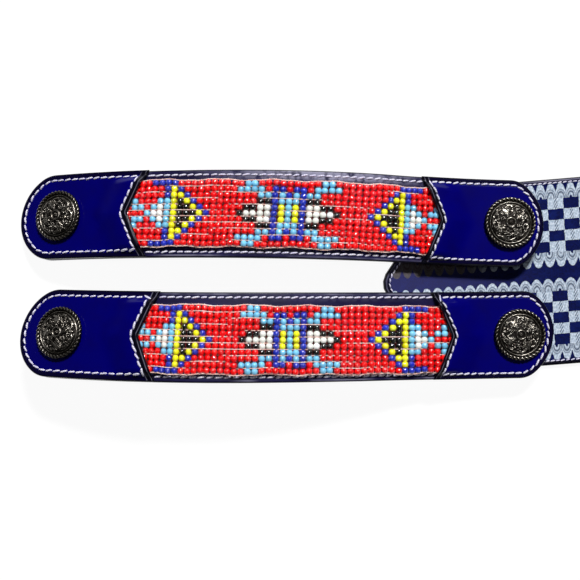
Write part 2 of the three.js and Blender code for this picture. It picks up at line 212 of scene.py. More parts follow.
def add_piece(name, form, finish, replaced=()):
    """Makes a smooth mesh from a form's points and blocks of faces, with its layers of values."""
    mesh = bpy.data.meshes.new(name)
    faces = [face for block in form["faces"] for face in block.tolist()]
    mesh.from_pydata((form["points"] / 1000).tolist(), [], faces)
    mesh.polygons.foreach_set("use_smooth", np.ones(len(mesh.polygons), bool))
    for layer, (kind, part) in LAYERS.items():
        if layer in form:
            values = np.asarray(form[layer], np.float32).ravel()
            mesh.attributes.new(layer, kind, "POINT").data.foreach_set(part, values)
    mesh.materials.append(finish.material)
    piece = add_object(name, mesh)
    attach(piece, belt_body)
    if replaced:
        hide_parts(*replaced)
    return piece


def math_node(operation, swapped=False):
    """The method that adds a Math node to an amount, which is its first input, or its last if `swapped`."""
    return lambda self, *others: self.math(operation, *((*others, self) if swapped else (self, *others)))


class Amount:
    """A number that changes over a surface: a socket, on which arithmetic adds a Math node."""

    def __init__(self, finish, socket):
        self.finish, self.socket = finish, socket

    def math(self, operation, *inputs):
        node = self.finish.node("ShaderNodeMath", {"operation": operation}, dict(enumerate(inputs)))
        return Amount(self.finish, node.outputs[0])

    __add__ = __radd__ = math_node("ADD")
    __sub__ = math_node("SUBTRACT")
    __rsub__ = math_node("SUBTRACT", swapped=True)
    __mul__ = __rmul__ = math_node("MULTIPLY")
    __truediv__ = math_node("DIVIDE")
    __gt__ = math_node("GREATER_THAN")
    __lt__ = math_node("LESS_THAN")
    __abs__ = math_node("ABSOLUTE")
    floor = math_node("FLOOR")
    fract = math_node("FRACT")
    sine = math_node("SINE")
    root = math_node("SQRT")
    most = math_node("MAXIMUM")
    least = math_node("MINIMUM")

    def odd(self):
        return (self * 0.5).fract() * 2 > 0.75

    def rise(self, low, high):
        """0 below `low`, 1 above `high`, and a smooth step between."""
        values = {"Value": self, "From Min": low, "From Max": high}
        node = self.finish.node("ShaderNodeMapRange", {"interpolation_type": "SMOOTHSTEP"}, values)
        return Amount(self.finish, node.outputs["Result"])

    def hump(self, middle, half):
        """1 at `middle`, down to 0 at `half` on either side."""
        return 1 - abs(self - middle).rise(0, half)


def shade(red, green, blue):
    """A colour named as on a screen, 0 to 255, as the linear colour that a shader takes."""
    share = np.array([red, green, blue]) / 255
    return (*np.where(share < 0.04045, share / 12.92, ((share + 0.055) / 1.055) ** 2.4), 1)


class Finish:
    """A material whose shader is a Principled BSDF with these fixed values."""

    def __init__(self, name, **fixed):
        self.material = bpy.data.materials.new(name)
        self.material.use_nodes = True
        self.tree = self.material.node_tree
        self.tree.nodes.clear()
        self.shader = self.node("ShaderNodeBsdfPrincipled", {}, {})
        self.wear(**fixed)
        self.node("ShaderNodeOutputMaterial", {}, {"Surface": self.shader.outputs["BSDF"]})

    def node(self, kind, settings, values):
        node = self.tree.nodes.new(kind)
        for setting, value in settings.items():
            setattr(node, setting, value)
        self.fill(node, values)
        return node

    def fill(self, node, values):
        for socket, value in values.items():
            value = value.socket if isinstance(value, Amount) else value
            if isinstance(value, bpy.types.NodeSocket):
                self.tree.links.new(value, node.inputs[socket])
            else:
                node.inputs[socket].default_value = value

    def wear(self, **values):
        """Gives the shader its values, or links what changes over the surface."""
        self.fill(self.shader, {k.replace("_", " "): v for k, v in values.items()})

    def held(self, name, output):
        """What the mesh holds in a layer of values."""
        return self.node("ShaderNodeAttribute", {"attribute_name": name}, {}).outputs[output]

    def parts(self, vector):
        """The three parts of a vector."""
        node = self.node("ShaderNodeSeparateXYZ", {}, {0: vector})
        return [Amount(self, socket) for socket in node.outputs]

    def place(self):
        return self.node("ShaderNodeTexCoord", {}, {}).outputs["Object"]

    def vector(self, x, y, z=0.0):
        return self.node("ShaderNodeCombineXYZ", {}, {0: x, 1: y, 2: z}).outputs[0]

    def cloud(self, vector, scale, detail=2.0, roughness=0.5):
        """Soft noise, about 0.5, `scale` times to the unit of the vector."""
        values = {"Vector": vector, "Scale": scale, "Detail": detail, "Roughness": roughness}
        return Amount(self, self.node("ShaderNodeTexNoise", {}, values).outputs["Fac"])

    def pebble(self, vector, scale):
        """Rounded cells: the distance from the middle of the nearest of them."""
        node = self.node("ShaderNodeTexVoronoi", {"feature": "F1"}, {"Vector": vector, "Scale": scale})
        return Amount(self, node.outputs["Distance"])

    def dye(self, mask, colour, over):
        """`colour` where the mask is 0, `over` where it is 1."""
        node = self.node("ShaderNodeMix", {"data_type": "RGBA"}, {0: mask, 6: colour, 7: over})
        return node.outputs[2]

    def relief(self, height, depth):
        """Raises the surface by `height` times `depth` millimetres."""
        values = {"Height": height, "Strength": 1.0, "Distance": depth / 1000}
        self.wear(Normal=self.node("ShaderNodeBump", {}, values).outputs["Normal"])


def tongue(across, inset):
    """How far a pointed end's edge lies from its foremost point: an arc at the tip, a straight side at the
    tip's angle and an arc at the shoulder, all moved in by `inset`."""
    tip, shoulder = TIP_RADIUS - inset, SHOULDER_RADIUS - inset
    middle = BAND_WIDTH / 2 - SHOULDER_RADIUS
    rise = middle * math.cos(TIP_ANGLE) + SHOULDER_RADIUS - TIP_RADIUS
    shoulder_at = TIP_RADIUS + rise / math.sin(TIP_ANGLE)
    y = abs(across)
    side_start = tip * math.cos(TIP_ANGLE)
    side_end = middle + shoulder * math.cos(TIP_ANGLE)
    at_tip = TIP_RADIUS - np.sqrt(np.maximum(tip**2 - y**2, 0))
    at_side = TIP_RADIUS - tip * math.sin(TIP_ANGLE) + (y - side_start) / math.tan(TIP_ANGLE)
    at_shoulder = shoulder_at - np.sqrt(np.maximum(shoulder**2 - (y - middle) ** 2, 0))
    return np.where(y <= side_start, at_tip, np.where(y <= side_end, at_side, at_shoulder))


def band_layer(inset, floor, thickness, rounding):
    """A slab with the band's outline, moved in by `inset`, from the tip at one end to the tip at the
    other."""
    return cut_slab(
        lambda across: tongue(across, inset), lambda across: BAND_LENGTH - tongue(across, inset),
        BAND_WIDTH - 2 * inset, BAND_SPACING, floor, thickness, rounding, on_band,
    )


def navy_leather(name, bloom, gloss, crest_sheen=0, bead_gap_shade=0):
    """Smooth navy leather: a fine pebbled grain, a lighter bloom in soft patches and black paint on the edge.
    Pale silver along the turn of the edge is partly edge wear and partly a painted highlight, and by
    `crest_sheen` a painted highlight lies on the upper margin at the top of a strap's arch. By
    `bead_gap_shade` the field on top that lies behind the beads is dyed dark red, as painted shade and red
    reflected light in the gaps between them."""
    leather = Finish(name, Coat_Weight=gloss, Coat_Roughness=0.34, Specular_IOR_Level=0.1)
    along, across, inside = leather.parts(leather.held("cut", "Vector"))
    spot = leather.place()
    patches = leather.cloud(spot, 60, 3)
    grain = leather.pebble(spot, 1300)
    painted = 1 - inside.rise(0.35, 0.7)
    # Pale silver along the turn of the edge, partly edge wear and partly a painted highlight, and a painted
    # highlight on the upper margin at the top of the strap's arch
    rubbed = inside.hump(0.85, 0.6) * leather.cloud(spot, 45, 3).rise(0.45, 0.65)
    crest_highlight = along.hump(CREST_AT, CREST_HALF) * across.rise(14, 16) * crest_sheen
    rubbed = rubbed.most(crest_highlight * leather.cloud(spot, 420, 3).rise(0.3, 0.6))
    hide = leather.dye(patches.rise(0.35, 0.75) * bloom, shade(12, 6, 50), shade(26, 19, 74))
    hide = leather.dye(grain.rise(0.25, 0.7) * 0.35, hide, shade(9, 8, 34))
    # Painted highlight, with some edge wear, laid on in pale silver
    hide = leather.dye(rubbed * 0.5, hide, shade(156, 154, 178))
    facing = leather.node("ShaderNodeNewGeometry", {}, {}).outputs["Normal"]
    on_top = leather.parts(facing)[2] > 0
    # Painted shade and red reflected light: dark red on the top field behind the beads, seen in the gaps
    # between them
    hide = leather.dye(inside.rise(5.7, 6.1) * on_top * bead_gap_shade, hide, shade(104, 8, 10))
    leather.wear(
        Base_Color=leather.dye(painted, hide, shade(7, 6, 20)),
        Roughness=0.42 + patches * 0.16 - painted * 0.14,
    )
    leather.relief(leather.cloud(spot, 90, 3) * 2 - grain * 0.35 * (1 - painted), 0.14)
    return leather


band_leather = navy_leather("band_navy_leather", 0.6, 0.08)
band_hide = band_layer(0, 0, BAND_HIDE, HIDE_ROUNDING)
add_piece("band_hide", band_hide, band_leather, ["band_leather"])


# Band facing: plain-weave cotton, block-printed in white on deep blue with checks between rows of scallops,
# laid on the hide and held by the stitched edge. It is one sheet with the band's outline.
FACING_INSET = 1.2
FACING = 1.0  # thickness
FACING_FLOOR = BAND_HIDE + 0.3
FACING_ROOF = FACING_FLOOR + FACING
FACING_ROUNDING = 0.42
CHECK_ROWS = 5
CHECK_MIDDLE = 20.6  # from the band's middle line to the middle of each field of checks
CHECK_HIGH = 4.78  # a cell across the band
CHECK_LONG = 6.94  # and along it
CHECK_START = 0.23  # where a cell begins along the band
PRINT_LEAN = 0.0386  # of the rows of cells, which are not quite square to the band
SCALLOP_HIGH = 6.6
SHORTER_SCALLOP = 1.0  # by which the row on the lower side of the middle stripe is less high
OUTER_SCALLOP = {"long": 4.48, "upper": -0.28, "lower": -0.95}  # next to the stitches
INNER_SCALLOP = {"long": 5.05, "upper": 3.05, "lower": 1.75}  # next to the plain middle stripe
WEAVE_PITCH = 0.42
BAND_STITCH_INSET = 2.0

cotton = Finish("block_printed_cotton", Sheen_Weight=0.04, Sheen_Roughness=0.5, Specular_IOR_Level=0.12)
along, across, inside = cotton.parts(cotton.held("cut", "Vector"))
weft = cotton.vector(along, across)
smudge = cotton.cloud(weft, 0.5, 2)
smear = cotton.cloud(cotton.vector(across, along), 0.5, 2)
printed_along = along - across * PRINT_LEAN + (smudge - 0.5) * 0.7 + (cotton.cloud(weft, 2.6, 1) - 0.5) * 0.35
printed_across = across + (smear - 0.5) * 0.7
from_middle = abs(printed_across)
# Checks: five rows of cells on each side of the band's middle, light and dark by turns
from_check = (from_middle - CHECK_MIDDLE) / CHECK_HIGH + CHECK_ROWS / 2
check_row = from_check.most(0.01).least(CHECK_ROWS - 0.01).floor()
cell_at = (printed_along - CHECK_START) / CHECK_LONG
pale_cell = 1 - (check_row + cell_at.floor() + (across < 0.0) + 41).odd()
in_cell = (cell_at.fract() - 0.5) * CHECK_LONG
outside = abs(from_middle - CHECK_MIDDLE) - CHECK_ROWS * CHECK_HIGH / 2
in_checks = 1 - outside.rise(-0.05, 0.05)
# Scallops: tongues that stand on the checks, of arches one inside another, with dark wedges between their
# ends
outer = from_middle > CHECK_MIDDLE
upper = across > 0.0
scallop_long = outer * (OUTER_SCALLOP["long"] - INNER_SCALLOP["long"]) + INNER_SCALLOP["long"]
outer_start = upper * (OUTER_SCALLOP["upper"] - OUTER_SCALLOP["lower"]) + OUTER_SCALLOP["lower"]
inner_start = upper * (INNER_SCALLOP["upper"] - INNER_SCALLOP["lower"]) + INNER_SCALLOP["lower"]
scallop_start = outer * outer_start + (1 - outer) * inner_start
scallop_at = (((printed_along - scallop_start) / scallop_long + 40).fract() - 0.5) * scallop_long
arch = (scallop_at * scallop_at + outside * outside * 0.3).root()
tongue_half = scallop_long * (0.5 - outside.rise(2.4, SCALLOP_HIGH - 0.6) * 0.2)
shorter = (1 - outer) * (1 - upper) * SHORTER_SCALLOP
tongue_tip = outside + scallop_at * scallop_at * 0.42 + shorter
beside_tongue = (abs(scallop_at) - tongue_half).rise(-0.1, 0.1)
in_tongue = (1 - beside_tongue) * (1 - (tongue_tip - SCALLOP_HIGH).rise(-0.15, 0.1))
base_dark = 1 - arch.rise(0.5, 0.72)
arch_line = arch.hump(1.45, 0.5).most(arch.hump(2.12, 0.32) * 0.75)
pale = in_checks * pale_cell + (1 - in_checks) * in_tongue * (1 - base_dark * (1 - pale_cell))
# Fine lines in the pale cells, with a few dark slanting strokes in the middle of each
fine_hatch = (along * (2 * math.pi / 0.7) + across * 0.6).sine().rise(0, 0.9)
slant_hatch = ((along * 1.5 - across * 0.95) * (2 * math.pi / 1.55)).sine().rise(0.15, 0.6)
strokes = in_cell.hump(0, 1.35).rise(0.2, 0.45) * in_checks * slant_hatch
mottle = cotton.cloud(weft, 1.1, 3)
worn = cotton.cloud(weft, 0.18, 3)
lines = (fine_hatch * 0.3).most(arch_line * (1 - in_checks) * 0.9).most(strokes * 0.9)
lines = lines.most(base_dark * (1 - in_checks) * 0.5)
blue_dye = cotton.dye(mottle.rise(0.3, 0.7), shade(0, 6, 52), shade(2, 15, 82))
blue_dye = cotton.dye(worn.rise(0.45, 0.75) * 0.35, blue_dye, shade(14, 36, 118))
# Painted sheen: the blue is lighter towards the tip, where the band slopes up into the light
tip_sheen = 1 - along.rise(20, 80)
blue_dye = cotton.dye(tip_sheen * 0.4, blue_dye, shade(74, 74, 128))
pale_dye = cotton.dye(mottle.rise(0.35, 0.7), shade(176, 194, 214), shade(228, 238, 250))
pale_dye = cotton.dye(lines, pale_dye, shade(34, 48, 82))
# Painted shade: near the tip, the pale print of the row under the upper strap is darkened brown
painted_strap_shade = (1 - along.rise(36, 60)) * upper * (1 - outer)
pale_dye = cotton.dye(painted_strap_shade * 0.9, pale_dye, shade(66, 50, 44))
print_dye = cotton.dye(pale, blue_dye, pale_dye)
# Weave: over and under by turns, with the cloth drawn in at each stitch, and painted shade in the hollows
# between the threads
over = ((along / WEAVE_PITCH).floor() + (across / WEAVE_PITCH).floor() + 400).odd()
weave = abs((along * (math.pi / WEAVE_PITCH)).sine()) * over
weave = weave + abs((across * (math.pi / WEAVE_PITCH)).sine()) * (1 - over)
pucker = (along * (2 * math.pi / 2.3)).sine() * inside.hump(BAND_STITCH_INSET - FACING_INSET, 1.6)
hem = 1 - inside.rise(0.45, 0.8)
# Painted shade darkens the hollows of the weave
weave_shaded_dye = cotton.dye((1 - weave) * 0.14, print_dye, shade(6, 10, 48))
cotton.wear(
    Base_Color=cotton.dye(hem, weave_shaded_dye, shade(12, 10, 44)),
    Roughness=0.8 + mottle * 0.14,
)
cotton.relief(weave * 0.5 + pucker * 0.9 + mottle * 0.8, 0.12)

facing = band_layer(FACING_INSET, FACING_FLOOR, FACING, FACING_ROUNDING)
band_facing = add_piece("band_facing", facing, cotton, ["band_fabric"])


# Band stitches: waxed white thread, twisted of two plies, sewn through hide and cotton in a short lock
# stitch all round, 2 mm inside the edge. The same row shows on the face and on the back.
BAND_STITCH = {"pitch": 2.25, "length": 2.0, "radius": 0.3, "slant": 12}
BACK_SINK = 0.12  # of the stitches on the back


def inset_path(outline, inset):
    """The line `inset` inside a closed outline: each point moved in along the outline's normal, and left out
    where it comes nearer to another stretch of the outline."""
    ahead = np.roll(outline, -1, 0) - np.roll(outline, 1, 0)
    ahead /= np.maximum(np.hypot(*ahead.T), 1e-9)[:, None]
    moved = outline + inset * np.stack([-ahead[:, 1], ahead[:, 0]], -1)
    return moved[distance_to(outline, moved) > inset - 0.05]


def sew(path, pitch, closed=True):
    """A seam: even stitch places on a path, `pitch` apart, and the heading of the path at each."""
    line = np.concatenate([path, path[:1]]) if closed else path
    step = np.hypot(*np.diff(line, axis=0).T)
    line = line[np.append(True, step > 1e-6)]
    reach = np.append(0, np.cumsum(np.hypot(*np.diff(line, axis=0).T)))
    count = round(reach[-1] / pitch)
    at = (np.arange(count) + 0.5) * reach[-1] / count

    def spot(s):
        s = s % reach[-1] if closed else np.clip(s, 0, reach[-1])
        return np.stack([np.interp(s, reach, line[:, 0]), np.interp(s, reach, line[:, 1])], -1)

    heading = spot(at + pitch / 2) - spot(at - pitch / 2)
    return spot(at), np.arctan2(heading[:, 1], heading[:, 0])


def unit(vector):
    return vector / np.linalg.norm(vector, axis=-1, keepdims=True)


def circle(count):
    """Angles evenly round a circle."""
    return 2 * math.pi * np.arange(count) / count


def tube_faces(rings, sides):
    """The faces of a closed round form: a grid of rings, and a fan at each end to a point on the axis. The
    two points follow those of the grid."""
    ring, last = np.arange(sides), (rings - 1) * sides
    after = np.roll(ring, -1)
    poles = np.repeat([rings * sides, rings * sides + 1], sides)
    fans = np.stack([np.append(after, ring + last), np.append(ring, after + last), poles], -1)
    return grid_faces(rings, sides, closed=True)[:, ::-1], fans


def repeated(blocks, count, size):
    """The blocks of faces of `count` like shapes of `size` points each."""
    first = size * np.arange(count)[:, None, None]
    return [(block[None] + first).reshape(-1, block.shape[-1]) for block in blocks]


def joined(parts):
    """Several threads as one form."""
    start = np.cumsum([0] + [len(part["points"]) for part in parts])
    made = {key: np.concatenate([part[key] for part in parts]) for key in ("points", "twist")}
    made["faces"] = [block + first for part, first in zip(parts, start) for block in part["faces"]]
    return made


def stitches(seam, stitch, height, face, place):
    """Twisted thread in short stitches: each a bowed tube whose centre line stands 0.55 radius proud at its
    middle and dips under the leather at its ends, with a radius of r sqrt(1 - t^4) at share t of its half
    length. `face` is 1 on the upper side and -1 on the back."""
    spots, headings = seam
    t = np.array([-0.98, -0.8, -0.45, 0, 0.45, 0.8, 0.98])
    turn = circle(6)
    count = len(spots)
    half = stitch["length"] / 2 * (1 + 0.06 * chance.standard_normal(count))
    heading = headings + np.radians(stitch["slant"] + 4 * chance.standard_normal(count))
    radius = stitch["radius"] * np.sqrt(1 - t**4)
    rise = stitch["radius"] * (0.55 - 0.95 * t**2)[:, None] + radius[:, None] * np.sin(turn)
    shape = (count, len(t), len(turn))
    a = np.broadcast_to((half[:, None] * t)[:, :, None], shape)
    b = np.broadcast_to(radius[:, None] * np.cos(turn), shape)
    cos, sin = np.cos(heading)[:, None, None], np.sin(heading)[:, None, None]
    x = spots[:, 0, None, None] + a * cos - b * sin
    y = spots[:, 1, None, None] + a * sin + b * cos
    up = (height(x, y) if callable(height) else height) + face * np.broadcast_to(rise, shape)
    points = place(x, y, up).reshape(count, -1, 3)
    ends = np.stack([points[:, :6].mean(1), points[:, -6:].mean(1)], 1)
    round_thread = np.broadcast_to(turn / (2 * math.pi), shape)
    twist = np.stack([a, round_thread, np.zeros(shape)], -1).reshape(count, -1, 3)
    faces = [block[:, ::face] for block in tube_faces(len(t), len(turn))]
    return {
        "points": np.concatenate([points, ends], 1).reshape(-1, 3),
        "faces": repeated(faces, count, len(t) * len(turn) + 2),
        "twist": np.concatenate([twist, np.zeros((count, 2, 3))], 1).reshape(-1, 3),
    }


thread = Finish("waxed_white_thread", Sheen_Weight=0.3, Specular_IOR_Level=0.35)
strand, round_strand = thread.parts(thread.held("twist", "Vector"))[:2]
ply = ((strand / 0.85 + round_strand) * (2 * math.pi)).sine()
soil = thread.cloud(thread.place(), 300, 2)
fibre = thread.cloud(thread.place(), 4200, 2)
clean_thread = thread.dye(soil.rise(0.35, 0.7), shade(244, 241, 254), shade(214, 210, 238))
# Painted shade darkens the grooves between the plies
thread.wear(
    Base_Color=thread.dye(ply.rise(0.2, -0.9) * 0.45, clean_thread, shade(120, 116, 160)),
    Roughness=0.55 + fibre * 0.2,
)
thread.relief(ply * 0.6 + fibre * 0.4, 0.08)

seam = sew(inset_path(band_hide["outline"], BAND_STITCH_INSET), BAND_STITCH["pitch"])
sides = [stitches(seam, BAND_STITCH, up, face, on_band) for up, face in ((FACING_ROOF, 1), (BACK_SINK, -1))]
add_piece("band_stitches", joined(sides), thread)


# Strap hides: two narrow straps of the same navy leather, 3 mm thick, with blunt round ends. They arch up
# from the snaps on the band, twisted a little, and carry the bead panels and the tabs.
STRAP_LENGTH = 232.9
STRAP_WIDTH = 38
STRAP_HIDE = 3
STRAP_FLOOR = 7
STRAP_ROOF = STRAP_FLOOR + STRAP_HIDE
END_RADIUS = {"free": 20, "fixed": 21.5}
CORNER_RADIUS = {"free": 13, "fixed": 10.5}
SNAP_AT = {"free": 20.5, "fixed": STRAP_LENGTH - 15.4}
STUD_FROM_TIP = 58
STUD_INSET = 17
STUD_MIDDLE = -2
STRAP_SPACING = 1.5  # of the grid's lines
THIRDS = np.array([1, 2 / 3, 1 / 3])
HALVES = np.array([0, 1 / 2, 1])
straps = {
    "upper": {
        "side": 1,
        "crest_sheen": 1.5,
        "slopes": [25.3, 11.7, 2.1],
        "yaws": [-3.4, -6.1, -6.2],
        "twist": math.radians(-8.4),
        "skew": {"free": 0.04, "fixed": 0.03},
        "notch": {"free": (0.2256, 0.2598), "fixed": (0.2078, 0.2435)},
        "columns": {
            "centre": 118.9, "pitch": 2.786, "stretch": 0.0, "lean": 0.05, "middle": -0.4, "drift": -0.012,
        },
    },
    "lower": {
        "side": -1,
        "crest_sheen": 0.15,
        "slopes": [28.2, 8.5, -10.2],
        "yaws": [-7.2, -4.5, -3.3],
        "twist": math.radians(-12.3),
        "skew": {"free": 0.04, "fixed": -0.06},
        "notch": {"free": (0.2332, 0.2639), "fixed": (0.2043, 0.2405)},
        "columns": {
            "centre": 113.4, "pitch": 2.77, "stretch": 0.0102, "lean": 0.035, "middle": -1.4, "drift": -0.015,
        },
    },
}


def strap_places(strap):
    """Places on a strap: its own plan swings about the fixed snap by the yaws, it is twisted towards its
    free end, and what lies on it follows the side view's arcs, which go on into the band's."""
    reach = SNAP_AT["fixed"] - STUD_FROM_TIP
    side = arc_chain([*(-reach * THIRDS), *LIFT_AT], [*strap["slopes"], *LIFT_SLOPE], 0)
    plan = arc_chain(STRAP_LENGTH * HALVES, strap["yaws"], SNAP_AT["fixed"])

    def place(along, across, up):
        x, y, yaw = plan(along)
        band_along = STUD_FROM_TIP + x
        twist = strap["twist"] * np.maximum(0, -band_along / reach)
        aside = across * np.cos(twist) - (up - STRAP_ROOF) * np.sin(twist)
        lift = STRAP_ROOF + across * np.sin(twist) + (up - STRAP_ROOF) * np.cos(twist)
        across_band = strap["stud"] + y + aside * np.cos(yaw)
        return bend(side, band_along - aside * np.sin(yaw), across_band, lift)

    return place


def strap_end(strap, end, across):
    """How far along a strap its round end lies: one wide arc, and a smaller arc at each corner."""
    radius, corner_radius = END_RADIUS[end], CORNER_RADIUS[end]
    y = abs(across)
    corner_across = STRAP_WIDTH / 2 - corner_radius
    corner_along = radius - math.sqrt((radius - corner_radius) ** 2 - corner_across**2)
    meet = corner_across * radius / (radius - corner_radius)
    wide = radius - np.sqrt(radius**2 - np.minimum(y, meet) ** 2)
    corner = corner_along - np.sqrt(np.maximum(corner_radius**2 - (y - corner_across) ** 2, 0))
    depth = np.where(y <= meet, wide, corner) + strap["skew"][end] * across
    return depth if end == "free" else STRAP_LENGTH - depth


for name, strap in straps.items():
    strap["stud"] = STUD_MIDDLE + strap["side"] * (BAND_WIDTH / 2 - STUD_INSET)
    strap["place"] = strap_places(strap)
    strap["hide"] = cut_slab(
        lambda across: strap_end(strap, "free", across), lambda across: strap_end(strap, "fixed", across),
        STRAP_WIDTH, STRAP_SPACING, STRAP_FLOOR, STRAP_HIDE, HIDE_ROUNDING, strap["place"],
    )
    # Strap leather with its painted highlight on the upper margin and painted shade behind the beads
    strap_leather = navy_leather(name + "_strap_navy_leather", 0.7, 0.15, strap["crest_sheen"], 1)
    add_piece(name + "_strap_hide", strap["hide"], strap_leather, [name + "_strap_leather"])


# Tabs: patent leather in glossy ultramarine, 1.6 mm thick, sewn over each end of a strap. The inner edge of
# each is notched like a swallow's tail, painted black and raised where it laps over the ends of the bead
# rows.
TAB_HIDE = 1.6
TAB_FLOOR = STRAP_ROOF + 0.3
TAB_ROUNDING = 0.55
LIP_FLOOR = 13.6
LIP_FLAT = 3.6
LIP_RAMP = 14
LIP_SIDE = 3
PANEL_WIDTH = 29.4
PANEL_MIDDLE = -0.6
LIP_EDGE = PANEL_WIDTH / 2 - 0.5
TAB_SPACING = 1.1


def smooth(share):
    """A smooth step from 0 to 1."""
    share = np.clip(share, 0, 1)
    return share * share * (3 - 2 * share)


def notched(strap, end, across):
    """How far along the strap a tab's notched edge lies: straight from the vertex to each corner."""
    vertex, corner = strap["notch"][end]
    depth = STRAP_LENGTH * (vertex + (corner - vertex) * abs(across) / (STRAP_WIDTH / 2))
    return depth if end == "free" else STRAP_LENGTH - depth


def between_tabs(strap, along, across, under=0):
    """Whether a place lies between the notched edges, or no more than `under` beneath them."""
    start, end = notched(strap, "free", across), notched(strap, "fixed", across)
    return (along > start - under) & (along < end + under)


def tab_floor(strap, end, along, across):
    """The tab's underside: on the strap, but raised near its notched edge, over the bead panel."""
    beyond = abs(notched(strap, end, across) - along)
    ramp = smooth((LIP_FLAT + LIP_RAMP - beyond) / LIP_RAMP)
    beside = np.clip((LIP_EDGE + LIP_SIDE - abs(across - PANEL_MIDDLE)) / LIP_SIDE, 0, 1)
    return TAB_FLOOR + (LIP_FLOOR - TAB_FLOOR) * ramp * beside


patent = Finish("ultramarine_patent_leather", Coat_Roughness=0.04, Specular_IOR_Level=0.03)
inside = patent.parts(patent.held("cut", "Vector"))[2]
lap = Amount(patent, patent.held("lap", "Fac"))
spot = patent.place()
swell = patent.cloud(spot, 30, 2)
bloom = patent.cloud(spot, 120, 3)
margin = 1 - inside.rise(1.9, 2.5)
rolled = 1 - lap.rise(2.4, 3.0)
# Painted highlight: two thin light lines along the raised notched edge, where its rounding catches the light
edge_highlight = lap.hump(0.8, 0.25).most(lap.hump(2.75, 0.3)) * patent.cloud(spot, 160, 2).rise(0.35, 0.55)
painted = 1 - inside.rise(0.35, 0.7)
groove = inside.hump(2.5, 0.9)
lacquer = patent.dye(bloom.rise(0.3, 0.8) * 0.6, shade(2, 0, 100), shade(5, 1, 80))
lacquer = patent.dye(margin, lacquer, shade(7, 4, 38))
lacquer = patent.dye(rolled, lacquer, shade(7, 6, 18))
# The painted highlight of the notched edge
lacquer = patent.dye(edge_highlight * 0.45, lacquer, shade(150, 148, 170))
handled = 1 - lap.rise(15, 22)
patent.wear(
    Base_Color=patent.dye(painted, lacquer, shade(5, 5, 16)),
    Roughness=0.3 + bloom * 0.1,
    Coat_Weight=1 - handled * 0.75,
)
orange_peel = patent.cloud(spot, 700, 1)
patent.relief(swell * 2.2 + orange_peel * 0.05 - groove * 0.7 + lap.hump(1.25, 1.2) * 0.4, 0.22)

TAB_STITCH_INSET = {"free": 2.75, "fixed": 2.3}
TAB_STITCH = {"pitch": 3.4, "length": 3.2, "radius": 0.42, "slant": 9}

for name, strap in straps.items():
    for end in SNAP_AT:
        edges = [lambda across: strap_end(strap, end, across), lambda across: notched(strap, end, across)]
        tab = cut_slab(
            *(edges if end == "free" else edges[::-1]), STRAP_WIDTH, TAB_SPACING,
            lambda along, across: tab_floor(strap, end, along, across),
            TAB_HIDE, TAB_ROUNDING, strap["place"],
        )
        tab["lap"] = abs(notched(strap, end, tab["cut"][:, 1]) - tab["cut"][:, 0])
        strap[end + "_tab"] = tab
        add_piece(f"{name}_tab_{end}_patent", tab, patent, [f"{name}_tab_{end}"])


# Strap stitches: the same white thread in longer stitches, round each tab and along both edges of the strap
# beside the beads. The row shows on the back of the strap all round.
STRAP_STITCH_INSET = 2.3
for name, strap in straps.items():
    rows = []
    for end, inset in TAB_STITCH_INSET.items():
        seam = sew(inset_path(strap[end + "_tab"]["outline"], inset), TAB_STITCH["pitch"])

        def tab_roof(along, across):
            return tab_floor(strap, end, along, across) + TAB_HIDE

        rows.append(stitches(seam, TAB_STITCH, tab_roof, 1, strap["place"]))
    for side in (-1, 1):
        line_across = side * (STRAP_WIDTH / 2 - STRAP_STITCH_INSET)
        span = [notched(strap, end, line_across) for end in SNAP_AT]
        line = np.stack([np.linspace(*span, 60), np.full(60, line_across)], -1)
        seam = sew(line, TAB_STITCH["pitch"], closed=False)
        rows.append(stitches(seam, TAB_STITCH, STRAP_ROOF, 1, strap["place"]))
    seam = sew(inset_path(strap["hide"]["outline"], STRAP_STITCH_INSET), TAB_STITCH["pitch"])
    rows.append(stitches(seam, TAB_STITCH, STRAP_FLOOR + 0.1, -1, strap["place"]))
    add_piece(name + "_strap_stitches", joined(rows), thread)


# Bead panels: opaque glass seed beads, woven on a loom in eleven rows. A weft runs through the holes of each
# column of beads and holds them between the lengthwise warps. The pattern is counted out below.
BEAD_ROWS = 11
BEAD_COLUMNS = 51
ROW_PITCH = 2.6
BEAD_LENGTH = 2.54  # along its hole
BEAD_RADIUS = 1.4
BEAD_SIDES = 10
BEAD_MIDDLE = 11.85
PANEL_UNDERLAP = 2.4
YELLOW_COLUMN = 17  # columns from the middle of the panel to the yellow bar of an end figure
WAVE = {"height": 0.32, "long": 23.0, "short": 8.5}
glass = {
    "R": shade(252, 4, 6),
    "B": shade(26, 44, 180),
    "L": shade(122, 200, 238),
    "W": shade(250, 250, 242),
    "K": shade(3, 3, 4),
    "Y": shade(255, 246, 20),
}
# From the edge row to the middle row, and from the middle column outwards
middle_figure = ["RRRRRLLR", "RBBRLLLL", "BLBLLRRR", "LLBKKRRR", "LYBWWKKR", "LYBWWWWK"]
# The same rows, from five columns before the yellow bar to six after it
end_figure = ["RRRRRBBBBRRR", "RRRRBYBRRRRR", "RRRBYYBRRRRR", "RRBYKYLLRRRL", "RBYKKYLWLRLL", "BYKKKYLWWLRR"]


def bead_letter(row, column):
    """The letter of the bead in a row and a column, both counted from the panel's middle."""
    line, out = 5 - abs(row), abs(column)
    if out < len(middle_figure[line]):
        return middle_figure[line][out]
    past = out - YELLOW_COLUMN + 5
    return end_figure[line][past] if 0 <= past < len(end_figure[line]) else "R"


